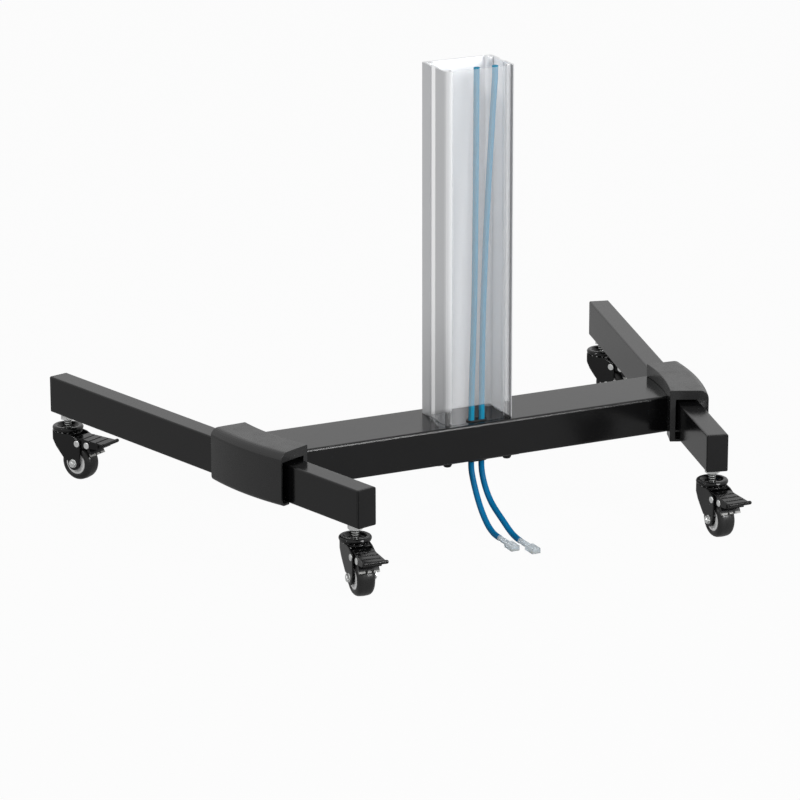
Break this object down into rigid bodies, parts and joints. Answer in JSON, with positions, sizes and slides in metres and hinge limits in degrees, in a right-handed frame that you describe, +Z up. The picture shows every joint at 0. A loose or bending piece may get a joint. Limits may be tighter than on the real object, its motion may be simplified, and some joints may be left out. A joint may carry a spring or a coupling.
{
  "type": "mobile tv stand",
  "caption": "Wheeled stand base: splayed black legs on braked swivel casters, a box crossbeam and a grooved column that hides the cables.",
  "frame": {"origin": "on the floor, under the middle of the stand's box, cables left out", "axes": "+X runs along the crossbeam, -Y is the front with the short leg ends, +Z is up"},
  "size_m": [0.8919, 0.6868, 0.61],
  "materials": {
    "frame_paint": "satin black powder coat",
    "plate_paint": "satin black powder coat",
    "cover_plastic": "fine grained black plastic",
    "cap_plastic": "smooth black plastic",
    "column_silver": null,
    "zinc_steel": "bright zinc plating",
    "black_bolt": "black oxide",
    "weld_steel": "bare steel",
    "grommet_rubber": "matt black rubber",
    "cable_blue": "satin blue jacket",
    "plug_clear": "clear moulded plug with a blue boot",
    "caster_black": "gloss black coating",
    "pedal_black": "gloss black coating",
    "shoe_plastic": "black nylon",
    "hub_plastic": "black nylon",
    "rim_grey": "pale grey plastic",
    "tyre_black": "smooth black tread",
    "ball_steel": "polished"
  },
  "bodies": {
    "base": {"crossbeam": "frame_paint", "beam_end_plates": "weld_steel", "leg_left": "frame_paint", "leg_right": "frame_paint", "leg_end_caps": "cap_plastic", "leg_bolts": "zinc_steel", "joint_cover_left": "cover_plastic", "joint_cover_right": "cover_plastic", "column": "column_silver", "foot_plate": "plate_paint", "column_bolts": "black_bolt", "cable_grommet_top": "grommet_rubber", "cable_grommet_bottom": "grommet_rubber", "cable_riser_left": "cable_blue", "cable_riser_right": "cable_blue", "cable_tail_left": "cable_blue", "cable_tail_right": "cable_blue", "cable_plug_left": "plug_clear", "cable_plug_right": "plug_clear", "caster_stems": "zinc_steel", "stem_nuts": "zinc_steel", "swivel_caps": "caster_black", "swivel_balls": "ball_steel"},
    "swivel_front_left": {"fork_front_left": "caster_black", "axle_front_left": "zinc_steel", "pedal_pin_front_left": "zinc_steel"},
    "wheel_front_left": {"hub_front_left": "hub_plastic", "rim_front_left": "rim_grey", "tyre_front_left": "tyre_black"},
    "brake_front_left": {"pedal_front_left": "pedal_black", "brake_shoe_front_left": "shoe_plastic", "shoe_rivet_front_left": "zinc_steel"},
    "swivel_front_right": {"fork_front_right": "caster_black", "axle_front_right": "zinc_steel", "pedal_pin_front_right": "zinc_steel"},
    "wheel_front_right": {"hub_front_right": "hub_plastic", "rim_front_right": "rim_grey", "tyre_front_right": "tyre_black"},
    "brake_front_right": {"pedal_front_right": "pedal_black", "brake_shoe_front_right": "shoe_plastic", "shoe_rivet_front_right": "zinc_steel"},
    "swivel_back_left": {"fork_back_left": "caster_black", "axle_back_left": "zinc_steel", "pedal_pin_back_left": "zinc_steel"},
    "wheel_back_left": {"hub_back_left": "hub_plastic", "rim_back_left": "rim_grey", "tyre_back_left": "tyre_black"},
    "brake_back_left": {"pedal_back_left": "pedal_black", "brake_shoe_back_left": "shoe_plastic", "shoe_rivet_back_left": "zinc_steel"},
    "swivel_back_right": {"fork_back_right": "caster_black", "axle_back_right": "zinc_steel", "pedal_pin_back_right": "zinc_steel"},
    "wheel_back_right": {"hub_back_right": "hub_plastic", "rim_back_right": "rim_grey", "tyre_back_right": "tyre_black"},
    "brake_back_right": {"pedal_back_right": "pedal_black", "brake_shoe_back_right": "shoe_plastic", "shoe_rivet_back_right": "zinc_steel"}
  },
  "joints": [
    {"name": "swivel_turn_front_left", "type": "hinge", "parent": "base", "child": "swivel_front_left", "pos_m": [-0.27031, -0.26629, 0.0656], "axis": [0, 0, 1], "continuous": true},
    {"name": "wheel_spin_front_left", "type": "hinge", "parent": "swivel_front_left", "child": "wheel_front_left", "pos_m": [-0.27225, -0.2872, 0.025], "axis": [0.9957, -0.0924, 0], "continuous": true},
    {"name": "brake_press_front_left", "type": "hinge", "parent": "swivel_front_left", "child": "brake_front_left", "pos_m": [-0.2729, -0.29417, 0.054], "axis": [0.9957, -0.0924, 0], "range_deg": [0, 14.5]},
    {"name": "swivel_turn_front_right", "type": "hinge", "parent": "base", "child": "swivel_front_right", "pos_m": [0.24331, -0.26629, 0.0656], "axis": [0, 0, 1], "continuous": true},
    {"name": "wheel_spin_front_right", "type": "hinge", "parent": "swivel_front_right", "child": "wheel_front_right", "pos_m": [0.24298, -0.28729, 0.025], "axis": [0.9999, -0.0157, 0], "continuous": true},
    {"name": "brake_press_front_right", "type": "hinge", "parent": "swivel_front_right", "child": "brake_front_right", "pos_m": [0.24287, -0.29429, 0.054], "axis": [0.9999, -0.0157, 0], "range_deg": [0, 14.5]},
    {"name": "swivel_turn_back_left", "type": "hinge", "parent": "base", "child": "swivel_back_left", "pos_m": [-0.42485, 0.32071, 0.0656], "axis": [0, 0, 1], "continuous": true},
    {"name": "wheel_spin_back_left", "type": "hinge", "parent": "swivel_back_left", "child": "wheel_back_left", "pos_m": [-0.41477, 0.30229, 0.025], "axis": [0.8771, 0.4802, 0], "continuous": true},
    {"name": "brake_press_back_left", "type": "hinge", "parent": "swivel_back_left", "child": "brake_back_left", "pos_m": [-0.41141, 0.29615, 0.054], "axis": [0.8771, 0.4802, 0], "range_deg": [0, 14.5]},
    {"name": "swivel_turn_back_right", "type": "hinge", "parent": "base", "child": "swivel_back_right", "pos_m": [0.39785, 0.32071, 0.0656], "axis": [0, 0, 1], "continuous": true},
    {"name": "wheel_spin_back_right", "type": "hinge", "parent": "swivel_back_right", "child": "wheel_back_right", "pos_m": [0.40706, 0.30183, 0.025], "axis": [0.8988, 0.4384, 0], "continuous": true},
    {"name": "brake_press_back_right", "type": "hinge", "parent": "swivel_back_right", "child": "brake_back_right", "pos_m": [0.41013, 0.29554, 0.054], "axis": [0.8988, 0.4384, 0], "range_deg": [0, 14.5]}
  ]
}
